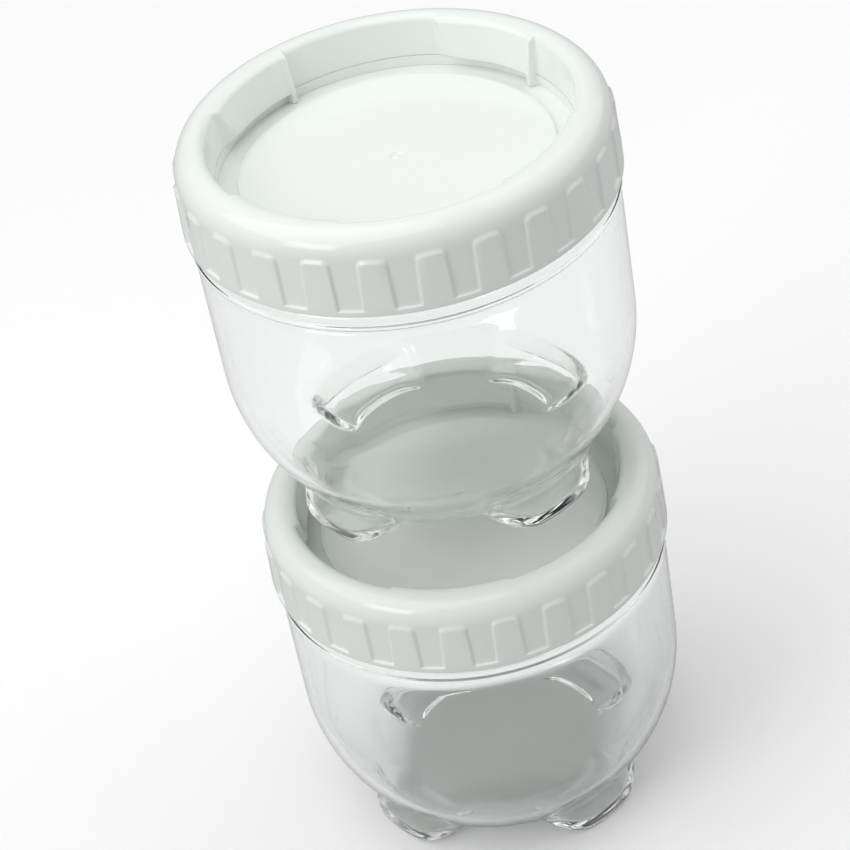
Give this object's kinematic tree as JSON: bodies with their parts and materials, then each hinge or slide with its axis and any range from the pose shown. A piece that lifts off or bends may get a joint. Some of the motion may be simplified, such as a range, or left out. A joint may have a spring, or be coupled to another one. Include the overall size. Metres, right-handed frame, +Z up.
{
  "type": "stacking storage jars",
  "caption": "Pair of clear round storage jars with white screw lids; the feet of one jar drop into the other's lid and twist to lock.",
  "frame": {"origin": "on the jars' common axis, at the bottom of the lower jar's feet", "axes": "+Z up along the common axis, from the lower jar to the upper lid; -Y is the side seen from the front"},
  "size_m": [0.0948, 0.0948, 0.1898],
  "materials": {
    "clear_plastic": "clear",
    "seal": "satin",
    "white_plastic": "glossy"
  },
  "bodies": {
    "lower_jar": {"lower_jar": "clear_plastic", "lower_seal": "seal"},
    "lower_lid_carrier": {"lower_lid_floor": "white_plastic"},
    "lower_lid": {"lower_lid": "white_plastic"},
    "upper_carrier": {"upper_seal": "seal"},
    "upper_jar": {"upper_jar": "clear_plastic"},
    "upper_lid_carrier": {"upper_lid_floor": "white_plastic"},
    "upper_lid": {"upper_lid": "white_plastic"}
  },
  "joints": [
    {"name": "lower_lid_rise", "type": "slide", "parent": "lower_jar", "child": "lower_lid_carrier", "axis": [0, 0, 1], "range_m": [0, 0.00771]},
    {"name": "lower_lid_turn", "type": "hinge", "parent": "lower_lid_carrier", "child": "lower_lid", "pos_m": [0, 0, 0.08], "axis": [0, 0, 1], "range_deg": [0, 630]},
    {"name": "upper_jar_lift", "type": "slide", "parent": "lower_lid", "child": "upper_carrier", "axis": [0, 0, 1], "range_m": [-0.0182, 0.03]},
    {"name": "upper_jar_twist", "type": "hinge", "parent": "upper_carrier", "child": "upper_jar", "pos_m": [0, 0, 0.0986], "axis": [0, 0, -1], "range_deg": [0, 45]},
    {"name": "upper_lid_rise", "type": "slide", "parent": "upper_jar", "child": "upper_lid_carrier", "axis": [0, 0, 1], "range_m": [0, 0.00771]},
    {"name": "upper_lid_turn", "type": "hinge", "parent": "upper_lid_carrier", "child": "upper_lid", "pos_m": [0, 0, 0.1786], "axis": [0, 0, 1], "range_deg": [0, 630]}
  ],
  "couplings": [
    {"joint": "lower_lid_rise", "follows": "lower_lid_turn", "m_per_rad": 0.00070028},
    {"joint": "upper_lid_rise", "follows": "upper_lid_turn", "m_per_rad": 0.00070028}
  ]
}
